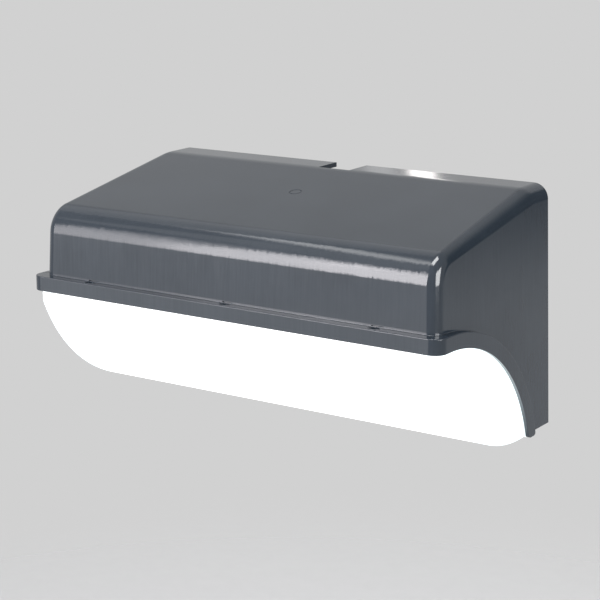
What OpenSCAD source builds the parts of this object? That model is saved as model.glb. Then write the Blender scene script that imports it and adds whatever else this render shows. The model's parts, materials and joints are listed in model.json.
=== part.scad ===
// Outdoor wall light: a moulded hood with an arched rim over a hinged opal bowl.
// X runs along the wall, the wall is the plane Y = 0, the front faces -Y and Z is up.
// Heights below are given from the hood's bottom edge, and placed() moves them all so that
// the origin lies on the wall at the centre of the four fixing slots.

/* [Rim] */
// Length over the rim
rim_l = 300; // [285:1:330]
// Reach of the rim from the wall
rim_reach = 147; // [146.5:0.5:155]
// Height of the ledge above the hood's bottom edge
ledge_h = 85; // [83:0.5:88]
// Height of the rim's band at the front
rim_band = 9.5; // [9:0.1:11]
// Corner radius of the rim seen from above
rim_corner = 8; // [7:0.5:11]
// Wall of the rim's skirt
skirt_wall = 2.2; // [1.8:0.1:2.4]
// Thickness of the ledge that joins the skirt to the hood
ledge_t = 2.5; // [2:0.1:3]
// Set-back of the top of the rim's arch behind its front
arch_front = 13; // [12:0.5:14]
// Distance from the wall to the arch's foot at the hood's bottom edge
arch_foot = 33.5; // [33.3:0.1:34]
// Drop of the rim's foot below the hood's bottom edge
foot_drop = 1.5; // [1:0.1:2]
// Rounding of the foot's corners
foot_corner = 2; // [1:0.1:3]

/* [Hood] */
// Width of the ledge beside the hood's ends
ledge_end = 5.7; // [5:0.1:8]
// Width of the ledge in front of the hood
ledge_front = 6.7; // [6:0.1:8]
// Height of the hood at the wall
hood_h = 151; // [146:0.2:165]
// Depth of the level strip along the top, next to the wall
strip_d = 22.6; // [15:0.2:26]
// Fall of that strip towards the front
strip_fall = 0.3; // [0:0.1:2]
// Height at which the roof and the front face would meet
brow_h = 127; // [122:0.5:132]
// Radius between the roof and the front face
brow_r = 18.5; // [12:0.5:22]
// Radius along the hood's upright corners and at the ends of its brow
edge_r = 7.25; // [5:0.25:8.5]
// Radius along the roof's ends over the level strip
roof_edge_r = 9.75; // [6:0.25:12]
// Wall of the hood
hood_wall = 3; // [2.5:0.1:3.4]
// Lean of the ends, as a share of height
end_draft_share = 0.036; // [0.02:0.002:0.045]
// Lean of the front face, as a share of height
front_draft_share = 0.039; // [0.02:0.001:0.05]

/* [Notch and slots] */
// Width of the conduit notch in the roof
notch_w = 23.5; // [16:0.5:32]
// Depth of the conduit notch from the wall
notch_d = 21.5; // [18:0.5:32]
// Distance between the snap slots in the front ledge
slot_pitch = 104.5; // [80:0.5:115]
// Width of a snap slot
slot_w = 5.5; // [4:0.5:8]
// Depth of a snap slot from the skirt
slot_d = 2.6; // [1.5:0.1:3]
// Depth of the recess that each snap slot leaves in the foot of the hood's front
slot_recess = 1; // [0.5:0.1:1.5]
// Outside diameter of the ring that the moulding gate leaves on the roof
gate_d = 8; // [5:0.5:10]
// Distance of the gate ring from the wall
gate_reach = 66; // [50:1:85]
// Depth of the gate ring's groove
gate_t = 0.3; // [0.2:0.05:0.6]

/* [Diffuser] */
// Distance of the bowl's lowest line from the wall
bowl_reach = 38; // [37:0.2:39]
// Depth of that line below the hood's bottom edge
bowl_drop = 1.8; // [1.4:0.1:2.2]
// Set-back of the bowl's shoulder behind the rim's front
bowl_front = 2.8; // [2.6:0.1:3.2]
// Corner radius of the bowl seen from above
bowl_corner = 9; // [8:0.5:11]
// Radius along the bowl's end edges
bowl_edge = 3; // [2.6:0.1:4]
// Wall of the bowl
bowl_wall = 2.5; // [2:0.1:2.5]
// Set-back of the bowl's lip behind the skirt
lip_back = 5.2; // [5:0.1:6]
// Reach of the end walls' raised edge in front of the arch's top
end_rise_reach = 2; // [1:0.1:2.2]
// Thickness of the lip
lip_t = 2.2; // [1.8:0.1:2.6]
// Height of the bowl's shoulder above the band's lower edge
shoulder_rise = 1.5; // [0.5:0.1:1.8]
// Width of each of the three snap barbs on the lip
barb_w = 5; // [3.5:0.5:5]
// Reach of a snap barb from the lip
barb_reach = 0.7; // [0.4:0.1:0.8]
// Height of a snap barb
barb_h = 1.8; // [1.2:0.1:2.4]

/* [Hinge] */
// Distance of the hinge axis from the wall
hinge_reach = 30.2; // [30:0.1:31]
// Height of the hinge axis
hinge_h = 1; // [0.8:0.1:1.4]
// Radius of the hinge barrel
barrel_r = 2.8; // [2.5:0.1:2.8]
// Radius of a hinge pin
pin_r = 1.5; // [1.2:0.1:1.6]
// Length of a hinge pin
pin_l = 26; // [22:1:30]
// Distance of each knuckle's middle from the rim's end
knuckle_in = 30; // [28:1:50]
// Width of a knuckle
knuckle_w = 10; // [8:0.5:12]
// Length of a pin that stays inside its knuckle's inner face
pin_proud = 3; // [1:0.5:5]

/* [Wall plate] */
// Thickness of the wall plate
plate_t = 3; // [2.5:0.1:4]
// Gap between the wall plate's edge and the hood
plate_gap = 1.5; // [1:0.1:2.5]
// Corner radius of the wall plate
plate_corner = 6; // [4:0.5:8]
// Height of the centre of the fixing slots
fix_h = 75; // [70:1:78]
// Distance between the fixing slots along the wall
fix_x = 200; // [190:1:210]
// Distance between the fixing slots in height
fix_z = 60; // [50:1:70]
// Width of a fixing slot
fix_w = 5; // [4:0.5:6]
// Length of a fixing slot
fix_l = 10; // [8:0.5:14]
// Width of the seal behind the wall plate
seal_w = 4; // [3:0.5:5]
// Depth of the seal behind the wall plate
seal_d = 1.5; // [1:0.1:1.8]
// Inset of that seal from the wall plate's edge
seal_in = 4; // [3:0.5:6]
// Distance of the hanging hooks from the middle
hook_x = 85; // [60:1:100]
// Width of a hanging hook
hook_w = 18; // [12:1:24]
// Thickness of a hanging hook
hook_t = 2.5; // [2:0.1:3]
// Reach of a hanging hook from the wall plate
hook_reach = 9; // [8.5:0.5:12]
// Height of the upturned end of a hanging hook
hook_lip = 3; // [2.5:0.1:3.5]

/* [Cable entry] */
// Height of the cable entry above the centre of the fixing slots
entry_rise = 25; // [20:1:28]
// Radius of the cable that the grommet takes
cable_r = 4; // [3:0.25:5]
// Radius of the grommet's hole in the wall plate
grommet_r = 9; // [8:0.5:10]
// Overlap of the grommet's flange on the wall plate
grommet_lap = 3; // [2:0.5:4]
// Thickness of the grommet's flange
grommet_t = 2.5; // [2:0.1:3]
// Length of the grommet's nozzle in front of its flange
nozzle_l = 6.5; // [4:0.5:8]
// Wall of the nozzle at its tip
nozzle_wall = 1.5; // [1:0.1:2]

/* [Gear tray] */
// Height of the tray's white underside
tray_h = 67; // [65:0.5:69]
// Thickness of the tray's sheet
tray_t = 1.2; // [1:0.1:1.6]
// Gap between the tray's ends and the hood
tray_end_gap = 4.1; // [3:0.1:7]
// Gap between the tray's front edge and the bowl's lip
tray_front_gap = 3.4; // [2.4:0.1:7]
// Distance of the tray's rear wall from the wall plane
tray_back = 20.8; // [20.4:0.1:21.2]
// Height of the tray's front upstand
tray_up = 13; // [8:0.5:14]
// Height of the tray's end upstands
tray_side = 10; // [6:0.5:12]
// Distance of the end bosses from the tray's ends
boss_end = 7; // [6:0.5:12]
// Distance of the end bosses behind the tray's front edge
boss_back = 80; // [76:1:84]
// Radius of the bosses
boss_r = 4.5; // [4:0.1:5]
// Height of the end bosses' top
boss_top = 125; // [110:1:130]
// Distance of the roof posts from the middle
post_x = 90; // [70:1:110]
// Distance of the roof posts behind the tray's front edge
post_back = 20; // [16:1:24]
// Depth of the screw holes in bosses and posts
pilot_d = 18; // [14:1:22]
// Distance between the two ribs beside each end boss
rib_gap = 30; // [24:1:36]
// Thickness of ribs inside the hood
rib_t = 1.6; // [1.2:0.1:2]
// Depth of the ribs inside the hood
rib_d = 9; // [6:0.5:10]

/* [Lamp boards] */
// Distance of the lamp boards' ends from the tray's ends
board_end = 19; // [16:1:26]
// Width of a lamp board
board_w = 16; // [12:0.5:20]
// Thickness of a lamp board
board_t = 1.6; // [1:0.1:2]
// Distance of the front board's middle behind the tray's front edge
board_back = 34; // [32:1:37]
// Distance between the middles of the two boards
board_pitch = 42; // [36:1:46]
// Number of lamps on a board
lamps = 12; // [6:1:16]
// Width of a lamp
lamp_w = 3.5; // [2.5:0.5:5]
// Thickness of a lamp
lamp_t = 0.8; // [0.5:0.1:1.2]
// Length of a board's plug
plug_l = 8; // [6:0.5:10]
// Width of a board's plug
plug_w = 9; // [6:0.5:12]
// Thickness of a board's plug
plug_t = 4; // [3:0.5:5]

/* [Driver] */
// Length of the driver's case
driver_l = 130; // [110:1:136]
// Width of the driver's case
driver_w = 38; // [30:1:40]
// Height of the driver's case
driver_h = 26; // [20:1:30]
// Height of the driver's lid
driver_lid_h = 9; // [6:0.5:12]
// Corner radius of the driver's case
driver_corner = 4; // [2:0.5:6]
// Wall of the driver's case
driver_wall = 2; // [1.6:0.1:2.4]
// Shift of the driver to the left of the middle
driver_left = 20; // [14:1:24]
// Length of the driver's fixing ears
ear_l = 9; // [8:0.5:11]
// Thickness of the driver's fixing ears
ear_t = 2.5; // [2:0.1:3]

/* [Terminals] */
// Number of poles in the terminal block
poles = 3; // [2:1:3]
// Width of one pole
pole_w = 12; // [10:0.5:12]
// Height of the terminal block
block_h = 18; // [14:0.5:20]
// Depth of the terminal block
block_d = 14; // [12:0.5:16]
// Distance of the terminal block's near end from the middle
block_x = 52; // [46:1:54]
// Radius of the holes for the wires
wire_hole_r = 1.8; // [1.5:0.1:2]
// Radius of an insulated lead
lead_r = 1.1; // [0.9:0.05:1.3]
// Distance of the cord clamp from the middle
clamp_x = 30; // [26:1:34]
// Width of the cord clamp
clamp_w = 8; // [6:0.5:9]
// Height of the cord clamp
clamp_h = 26; // [24:0.5:30]
// Depth of the cord clamp
clamp_d = 6; // [5:0.25:8]

/* [Fasteners] */
// Shank radius of the larger screws
screw_r = 1.9; // [1.6:0.1:2]
// Head radius of the larger screws
head_r = 3.6; // [3.2:0.1:4]
// Head height of the larger screws
head_t = 2.4; // [1.8:0.1:2.8]
// Length of the tray screws
tray_screw_l = 14; // [10:0.5:16]
// Length of the cover screws
cover_screw_l = 11; // [10:0.5:13]
// Distance of the cover screws inside the hinge knuckles
cover_in = 20; // [18:1:30]
// Distance of the cover screws from the wall
cover_reach = 11; // [10:0.5:12]
// Shank radius of the small screws
small_r = 1.3; // [1:0.1:1.5]
// Head radius of the small screws
small_head_r = 2.5; // [2.2:0.1:2.8]
// Head height of the small screws
small_head_t = 1.6; // [1.2:0.1:2]
// Length of the small screws
small_l = 7; // [6:0.5:8]

/* [Clearances] */
// Clearance between the bowl and the skirt, and between other parts that must not touch
clear = 0.3; // [0.2:0.05:0.4]
// Radial clearance of the hinge pins in the barrel
pin_clear = 0.05; // [0.02:0.01:0.08]
// Clearance of a screw in its hole
screw_clear = 0.1; // [0.05:0.05:0.2]
// Thickness of the seal under the ledge
lip_seal_t = 1; // [0.8:0.1:1.2]

/* [Hidden] */

// How far a cut runs past the face that it opens
overrun = 1;
// Facets of round pieces, and of the rounded forms that are drawn as hulls
$fn = 72;
form_fn = 36;
// Thickness of the slices that span a hull
slice = 0.02;
// Worked-out radii are rounded to this step, so that arcs meet their flats exactly
radius_step = 0.1;

// The radius of an arc that runs level at one end and ends a run and a rise away
function arc_radius(run, rise) =
    round((run * run + rise * rise) / (2 * rise) / radius_step) * radius_step;

// Colours
slate = [0.36, 0.38, 0.41];
opal = [0.95, 0.96, 0.95];
white = [0.93, 0.93, 0.91];
steel = [0.72, 0.73, 0.74];
black = [0.12, 0.12, 0.13];
pale_grey = [0.70, 0.71, 0.71];
brass = [0.78, 0.63, 0.32];

// Rim and arch
arch_top = ledge_h - rim_band;
arch_reach = rim_reach - arch_front;
arch_r = arc_radius(arch_reach - arch_foot, arch_top);
arch_h = arch_top - arch_r;
ledge_under = rim_band - ledge_t;
skirt_reach = rim_reach - skirt_wall;
skirt_half = rim_l / 2 - skirt_wall;
skirt_corner = rim_corner - skirt_wall;

// Hood
hood_l = rim_l - 2 * ledge_end;
hood_reach = rim_reach - ledge_front;
front_lean = atan(front_draft_share);
end_lean = atan(end_draft_share);
brow_y = -hood_reach + (brow_h - ledge_h) * front_draft_share;
strip_h = hood_h - strip_fall;
roof_slope = atan2(strip_h - brow_h, -strip_d - brow_y);
brow_share = brow_r / (1 + sin(front_lean + roof_slope));
brow_c = [
    brow_y + brow_share * (cos(front_lean) + sin(roof_slope)),
    brow_h - brow_share * (sin(front_lean) + cos(roof_slope))
];

// Half of the hood's length at a height
function hood_half(z) = hood_l / 2 + (ledge_h - z) * end_draft_share;
// Reach of the hood's front face at a height
function hood_front(z) = -hood_reach + (z - ledge_h) * front_draft_share;
// Height of the roof's upper face at a distance from the wall
function roof_z(reach) = strip_h - (reach - strip_d) * tan(roof_slope);

// Diffuser
bowl_half = skirt_half - clear;
lip_y = -(skirt_reach - lip_back);
lip_half = skirt_half - skirt_corner - clear;
lip_top = arch_top + ledge_under - lip_seal_t - clear;
shoulder_h = arch_top + shoulder_rise;
bowl_arch_r = arch_r + ledge_under - lip_seal_t - clear;
bowl_r = arc_radius(rim_reach - bowl_front - bowl_reach, shoulder_h + bowl_drop);
bowl_h = bowl_r - bowl_drop;

// Hinge
knuckle_x = rim_l / 2 - knuckle_in;
window_in = knuckle_x - knuckle_w / 2 - pin_proud - pin_l;
window_out = knuckle_x + knuckle_w / 2 + clear;
pin_from = knuckle_x - knuckle_w / 2 - pin_proud;

// Wall plate
plate_low = hood_wall + plate_gap;
plate_top = hood_h - hood_wall - plate_gap;
hook_h = plate_top - hook_lip - hook_t;
hook_gap_y = -plate_t - hook_reach + hook_t;
tab_t = 5;
tab_w = 22;
tab_d = cover_reach + head_r + hook_t;
cover_x = knuckle_x - cover_in;
entry_h = fix_h + entry_rise;
cut_w = notch_w + 2 * hook_lip;
cut_low = entry_h + grommet_r + seal_in + seal_w + seal_d;

// Gear tray
tray_top = tray_h + tray_t;
tray_edge = hood_l / 2 - hood_wall - tray_end_gap;
tray_reach = -lip_y - lip_t - tray_front_gap;
boss_x = tray_edge - boss_end;
boss_reach = tray_reach - boss_back;
post_reach = tray_reach - post_back;
tray_low = hood_wall + clear;
web_low = tray_h + tray_side + clear;
boss_places = [
    [-boss_x, -boss_reach], [boss_x, -boss_reach],
    [-post_x, -post_reach], [post_x, -post_reach]
];
tray_hole_r = screw_r + 2 * screw_clear;

// Lamp boards
board_l = 2 * (tray_edge - board_end);
front_board = tray_reach - board_back;
rear_board = front_board - board_pitch;
board_places = [-front_board, -rear_board];
board_low = tray_h - board_t;
lamp_pitch = board_l / (lamps + 1);
board_screw_x = board_l / 2 - 1.5 * lamp_pitch;
plug_x = -board_l / 2 + plug_l / 2;
lead_x = -(tray_edge + board_l / 2) / 2;
lead_y = -front_board + board_pitch / 2;
lead_hole_r = 3 * lead_r;

// Driver
driver_c = [-driver_left, lead_y];
case_h = driver_h - driver_lid_h;
ear_x = driver_l / 2 + ear_l / 2;
driver_lead_h = tray_top + case_h / 2;

// Terminals
block_l = poles * pole_w;
block_c = block_x + pole_w;
block_front = -plate_t - block_d;
wire_y = -plate_t - block_d / 2;
well_r = small_head_r + screw_clear;
well_d = 3;
clamp_hole_h = clamp_h / 2 - small_head_r - screw_clear;
earth_x = boss_x - 2 * boss_r;
earth_y = -boss_reach - 2 * boss_r - small_head_r;
earth_l = 14;
earth_t = 0.8;

// Everything is drawn with heights from the hood's bottom edge and then moved to the origin
module placed() {
    translate([0, 0, -fix_h])
        children();
}

// A section in Y and Z, drawn along X over a length that is centred on the middle
module along_x(l) {
    translate([-l / 2, 0, 0])
        rotate([90, 0, 90])
            linear_extrude(l)
                children();
}

// A box between two corners
module span(low, high) {
    translate(low)
        cube(high - low);
}

// A rounded rectangle between two corners
module rounded(low, high, r) {
    translate([low[0] + r, low[1]])
        square([high[0] - low[0] - 2 * r, high[1] - low[1]]);
    translate([low[0], low[1] + r])
        square([high[0] - low[0], high[1] - low[1] - 2 * r]);
    for (x = [low[0] + r, high[0] - r])
        for (y = [low[1] + r, high[1] - r])
            translate([x, y])
                circle(r);
}

// A round bar along X, given by its ends
module bar_x(from, to, y, z, r) {
    translate([from, y, z])
        rotate([0, 90, 0])
            cylinder(h = to - from, r = r);
}

// The hood's outer form, or one that lies a wall inside it, with its rear at a given Y
module hood_form(inset, back, low) {
    r = edge_r - inset;
    hull($fn = form_fn) {
        for (side = [-1, 1]) {
            // Rounded end of the brow
            translate([side * (hood_half(brow_c[1]) - edge_r), brow_c[0], brow_c[1]])
                rotate([0, side * (90 - end_lean), 0])
                    rotate_extrude($fn = form_fn)
                        translate([brow_r - edge_r, 0])
                            circle(r, $fn = form_fn);
            // Rear end edges along the strip
            for (p = [[back, hood_h], [-strip_d, strip_h]])
                translate([side * (hood_half(hood_h) - roof_edge_r), p[0], p[1] - roof_edge_r])
                    rotate([90, 0, 0])
                        cylinder(h = slice, r = roof_edge_r - inset, $fn = form_fn);
            // Front corners at the bottom
            translate([side * (hood_half(low) - edge_r), hood_front(low) + edge_r, low])
                cylinder(h = slice, r = r, $fn = form_fn);
            // Rear corners at the bottom
            translate([side * (hood_half(low) - inset) - slice / 2, back - slice, low])
                cube(slice);
        }
    }
}

// Everything below the rim's arch, grown outwards by a distance
module under_arch(grow) {
    translate([-arch_reach, arch_h])
        circle(arch_r + grow, $fn = 180);
    translate([-rim_reach - overrun, -foot_drop - overrun])
        square([
            rim_reach + overrun - arch_reach,
            arch_top + grow + foot_drop + overrun
        ]);
}

// The sliver outside a rounded corner between an arch of radius r and the foot's flat bottom
module foot_fillet(r, side) {
    h = foot_corner - foot_drop;
    run = r - side * foot_corner;
    c = [-arch_reach + sqrt(run * run - (h - arch_h) * (h - arch_h)), h];
    toward = (c - [-arch_reach, arch_h]) / run;
    touch = [-arch_reach, arch_h] + r * toward;
    difference() {
        polygon([
            c,
            touch,
            touch + [side * foot_corner, -2 * foot_corner],
            [c[0], -foot_drop - foot_corner]
        ]);
        translate(c)
            circle(foot_corner);
    }
}

// Section of the rim's band, with a rounded foot
module band_section() {
    difference() {
        intersection() {
            under_arch(rim_band);
            translate([-rim_reach - overrun, -foot_drop])
                square([rim_reach + overrun, ledge_h + foot_drop]);
        }
        under_arch(0);
        foot_fillet(arch_r + rim_band, 1);
        foot_fillet(arch_r, -1);
    }
}

// Plan of the rim or of the space inside its skirt, as a block over its full height
module rim_plan(half, reach, r) {
    translate([0, 0, -foot_drop - overrun])
        linear_extrude(ledge_h + foot_drop + 2 * overrun)
            rounded([-half, -reach], [half, 2 * r], r);
}

// Space that the bowl fills inside the skirt
module bowl_space() {
    intersection() {
        along_x(rim_l)
            under_arch(ledge_under);
        rim_plan(skirt_half, skirt_reach, skirt_corner);
    }
}

// Bosses, posts and ribs inside the hood, before they are trimmed to its walls
module hood_inside() {
    for (side = [-1, 1]) {
        // End boss, with the web that ties it to the end wall and a rib on each side
        translate([side * boss_x, -boss_reach, tray_top])
            cylinder(h = boss_top - tray_top, r = boss_r);
        span(
            [min(side * boss_x, side * rim_l / 2), -boss_reach - rib_t, web_low],
            [max(side * boss_x, side * rim_l / 2), -boss_reach + rib_t, boss_top]
        );
        for (y = [-rib_gap / 2, rib_gap / 2])
            span(
                [
                    min(side * (tray_edge + clear), side * rim_l / 2),
                    -boss_reach + y - rib_t / 2, tray_h
                ],
                [
                    max(side * (tray_edge + clear), side * rim_l / 2),
                    -boss_reach + y + rib_t / 2, boss_top
                ]
            );
        // Roof post, with a rib that runs along the roof to the front
        translate([side * post_x, -post_reach, tray_top])
            cylinder(h = hood_h - tray_top, r = boss_r);
        span(
            [side * post_x - rib_t / 2, -rim_reach, brow_h - rib_d - hood_wall],
            [side * post_x + rib_t / 2, -post_reach, hood_h]
        );
        // Rib that hangs behind the upturned end of each hanging hook
        span(
            [side * hook_x - hook_w / 2, hook_gap_y + clear, hook_h + hook_t + clear],
            [side * hook_x + hook_w / 2, hook_gap_y + clear + hook_t, hood_h]
        );
    }
}

// Knuckles that carry the hinge pins
module knuckles() {
    for (side = [-1, 1]) {
        from = side * knuckle_x - knuckle_w / 2;
        bar_x(from, from + knuckle_w, -hinge_reach, hinge_h, barrel_r);
        span(
            [from, -hinge_reach, 0],
            [from + knuckle_w, -tray_back, hood_wall]
        );
    }
}

// The conduit notch, as wide as a clearance makes it
module notch(grow) {
    span(
        [-notch_w / 2 - grow, -notch_d - grow, plate_top - notch_d],
        [notch_w / 2 + grow, overrun, hood_h + overrun]
    );
}

module hood() {
    color(slate) placed() difference() {
        union() {
            difference() {
                union() {
                    hood_form(0, 0, 0);
                    intersection() {
                        along_x(rim_l)
                            band_section();
                        rim_plan(rim_l / 2, rim_reach, rim_corner);
                    }
                }
                hood_form(hood_wall, overrun, hood_wall);
                bowl_space();
            }
            intersection() {
                hood_inside();
                hood_form(hood_wall / 2, 0, hood_wall / 2);
            }
            knuckles();
        }
        notch(0);
        // Snap slots through the ledge, and the recesses behind them
        for (x = [-slot_pitch, 0, slot_pitch]) {
            span(
                [x - slot_w / 2, -skirt_reach, ledge_h - ledge_t - overrun],
                [x + slot_w / 2, -skirt_reach + slot_d, ledge_h + overrun]
            );
            span(
                [x - slot_w / 2, -hood_reach - overrun, ledge_h],
                [x + slot_w / 2, -hood_reach + slot_recess, ledge_h + slot_recess]
            );
        }
        // Ring that the moulding gate leaves
        translate([0, -gate_reach, roof_z(gate_reach)])
            rotate([roof_slope, 0, 0])
                difference() {
                    cylinder(h = 2 * gate_t, r = gate_d / 2, center = true);
                    cylinder(h = 3 * gate_t, r = gate_d / 2 - 2 * gate_t, center = true);
                }
        // Screw holes in the bosses and posts
        for (p = boss_places)
            translate([p[0], p[1], tray_top - overrun])
                cylinder(h = pilot_d + overrun, r = screw_r);
        // Bores for the hinge pins
        for (side = [-1, 1])
            bar_x(
                side * knuckle_x - knuckle_w / 2 - overrun,
                side * knuckle_x + knuckle_w / 2 + overrun,
                -hinge_reach, hinge_h, pin_r
            );
        // Countersunk holes for the cover screws
        for (side = [-1, 1])
            translate([side * cover_x, -cover_reach, 0]) {
                translate([0, 0, -overrun])
                    cylinder(h = hood_wall + 2 * overrun, r = screw_r + screw_clear);
                cylinder(
                    h = head_r - screw_r,
                    r1 = head_r + screw_clear,
                    r2 = screw_r + screw_clear
                );
            }
    }
}

// The soft seal under the ledge that the bowl's edge closes on
module diffuser_gasket() {
    color(black) placed() {
        intersection() {
            along_x(2 * bowl_half) {
                difference() {
                    intersection() {
                        translate([-arch_reach, arch_h])
                            circle(arch_r + ledge_under, $fn = 180);
                        translate([-arch_reach, hinge_h + 2 * barrel_r])
                            square([arch_reach, ledge_h]);
                    }
                    translate([-arch_reach, arch_h])
                        circle(arch_r + ledge_under - lip_seal_t, $fn = 180);
                }
                translate([lip_y, ledge_h - ledge_t - lip_seal_t])
                    square([-arch_reach - lip_y, lip_seal_t]);
            }
            union()
                for (side = [-1, 1])
                    span(
                        [side * bowl_half - (side > 0 ? bowl_wall : 0), -rim_reach, 0],
                        [side * bowl_half + (side > 0 ? 0 : bowl_wall), 0, ledge_h]
                    );
        }
        span(
            [-bowl_half + bowl_wall, lip_y, ledge_h - ledge_t - lip_seal_t],
            [bowl_half - bowl_wall, lip_y + lip_t, ledge_h - ledge_t]
        );
    }
}

// Pins on which the bowl hangs
module hinge_pins() {
    color(steel) placed()
        for (side = [-1, 1])
            bar_x(
                side > 0 ? pin_from : -pin_from - pin_l,
                side > 0 ? pin_from + pin_l : -pin_from,
                -hinge_reach, hinge_h, pin_r
            );
}

// A pan-headed screw with its head at the bottom, pointing up
module pan_screw(r, l, hr, ht) {
    cylinder(h = l, r = r);
    translate([0, 0, -ht])
        difference() {
            cylinder(h = ht, r1 = hr * cos(30), r2 = hr);
            translate([0, 0, -overrun])
                cylinder(h = ht / 2 + overrun, r = hr / 2, $fn = 6);
        }
}

module cover_screws() {
    color(steel) placed()
        for (side = [-1, 1])
            translate([side * cover_x, -cover_reach, 0])
                difference() {
                    union() {
                        cylinder(h = head_r - screw_r, r1 = head_r, r2 = screw_r);
                        cylinder(h = cover_screw_l, r = screw_r);
                    }
                    translate([0, 0, -overrun])
                        cylinder(h = (head_r - screw_r) / 2 + overrun, r = screw_r / 2, $fn = 6);
                }
}

// Outline of the conduit cut in the wall plate, grown by a distance
module plate_cut(grow) {
    translate([0, cut_low + cut_w / 2])
        circle(cut_w / 2 + grow);
    translate([-cut_w / 2 - grow, cut_low + cut_w / 2])
        square([cut_w + 2 * grow, hood_h]);
}

// Half of the wall plate's length at a height, so that its ends follow the hood's
function plate_half(z) = hood_half(z) - hood_wall - plate_gap;

// Outline of the wall plate, inset by a distance
module plate_outline(inset) {
    r = plate_corner - inset / 2;
    low = plate_low + inset;
    high = plate_top - inset;
    difference() {
        union() {
            polygon([
                for (s = [1, -1])
                    for (z = s > 0 ? [low, low + r, high - r, high] : [high, high - r, low + r, low])
                        [
                            s * (plate_half(z) - inset - (z == low || z == high ? r : 0)),
                            z
                        ]
            ]);
            for (s = [-1, 1])
                for (z = [low + r, high - r])
                    translate([s * (plate_half(z) - inset - r), z])
                        circle(r);
        }
        plate_cut(inset);
    }
}

// A flat piece in X and Z, from one distance off the wall to another
module off_wall(from, to) {
    translate([0, -from, 0])
        rotate([90, 0, 0])
            linear_extrude(to - from)
                children();
}

module wall_seal_outline() {
    difference() {
        plate_outline(seal_in);
        plate_outline(seal_in + seal_w);
    }
}

module wall_plate() {
    color(pale_grey) placed() difference() {
        union() {
            off_wall(0, plate_t)
                plate_outline(0);
            for (side = [-1, 1]) {
                // Hanging hook at the top
                span(
                    [side * hook_x - hook_w / 2, -plate_t - hook_reach, hook_h],
                    [side * hook_x + hook_w / 2, -plate_t, hook_h + hook_t]
                );
                span(
                    [side * hook_x - hook_w / 2, -plate_t - hook_reach, hook_h],
                    [side * hook_x + hook_w / 2, hook_gap_y, hook_h + hook_t + hook_lip]
                );
                // Tab at the bottom for a cover screw
                span(
                    [side * cover_x - tab_w / 2, -tab_d, plate_low],
                    [side * cover_x + tab_w / 2, -plate_t, plate_low + tab_t]
                );
                // Upright stiffening ribs
                for (x = [side * (fix_x / 2 - fix_l), side * (fix_x / 2 + fix_l)])
                    span(
                        [x - rib_t / 2, -plate_t - 2 * rib_t, plate_low + tab_t],
                        [x + rib_t / 2, -plate_t, hook_h]
                    );
            }
            // Level stiffening ribs below the cable entry
            for (z = [fix_h - fix_z / 2 - fix_l, fix_h])
                span(
                    [-fix_x / 2 + fix_l, -plate_t - 2 * rib_t, z - rib_t / 2],
                    [fix_x / 2 - fix_l, -plate_t, z + rib_t / 2]
                );
        }
        // Groove for the seal
        off_wall(-overrun, seal_d)
            wall_seal_outline();
        // Fixing slots
        for (x = [-fix_x / 2, fix_x / 2])
            for (z = [fix_h - fix_z / 2, fix_h + fix_z / 2])
                off_wall(-overrun, plate_t + overrun) {
                    translate([x - fix_l / 2 + fix_w / 2, z - fix_w / 2])
                        square([fix_l - fix_w, fix_w]);
                    for (end = [-1, 1])
                        translate([x + end * (fix_l - fix_w) / 2, z])
                            circle(fix_w / 2);
                }
        // Hole for the grommet
        off_wall(-overrun, plate_t + overrun)
            translate([0, entry_h])
                circle(grommet_r);
        // Screw holes for the cord clamp and the terminal block
        for (p = concat(
            [for (s = [-1, 1]) [clamp_x, entry_h + s * clamp_hole_h]],
            [[block_c, entry_h]]
        ))
            off_wall(-overrun, plate_t + overrun)
                translate(p)
                    circle(small_r);
        // Screw holes in the tabs
        for (side = [-1, 1])
            translate([side * cover_x, -cover_reach, plate_low - overrun])
                cylinder(h = tab_t + 2 * overrun, r = screw_r);
    }
}

// Seal between the wall plate and the wall
module wall_gasket() {
    color(black) placed()
        off_wall(0, seal_d)
            wall_seal_outline();
}

module cable_grommet() {
    tip = plate_t + grommet_t + nozzle_l;
    color(black) placed()
        translate([0, 0, entry_h])
            rotate([90, 0, 0])
                rotate_extrude()
                    polygon([
                        [cable_r, 0],
                        [grommet_r, 0],
                        [grommet_r, plate_t],
                        [grommet_r + grommet_lap, plate_t],
                        [grommet_r + grommet_lap, plate_t + grommet_t],
                        [grommet_r - grommet_lap / 2, plate_t + grommet_t],
                        [cable_r + nozzle_wall, tip],
                        [cable_r, tip]
                    ]);
}

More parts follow.
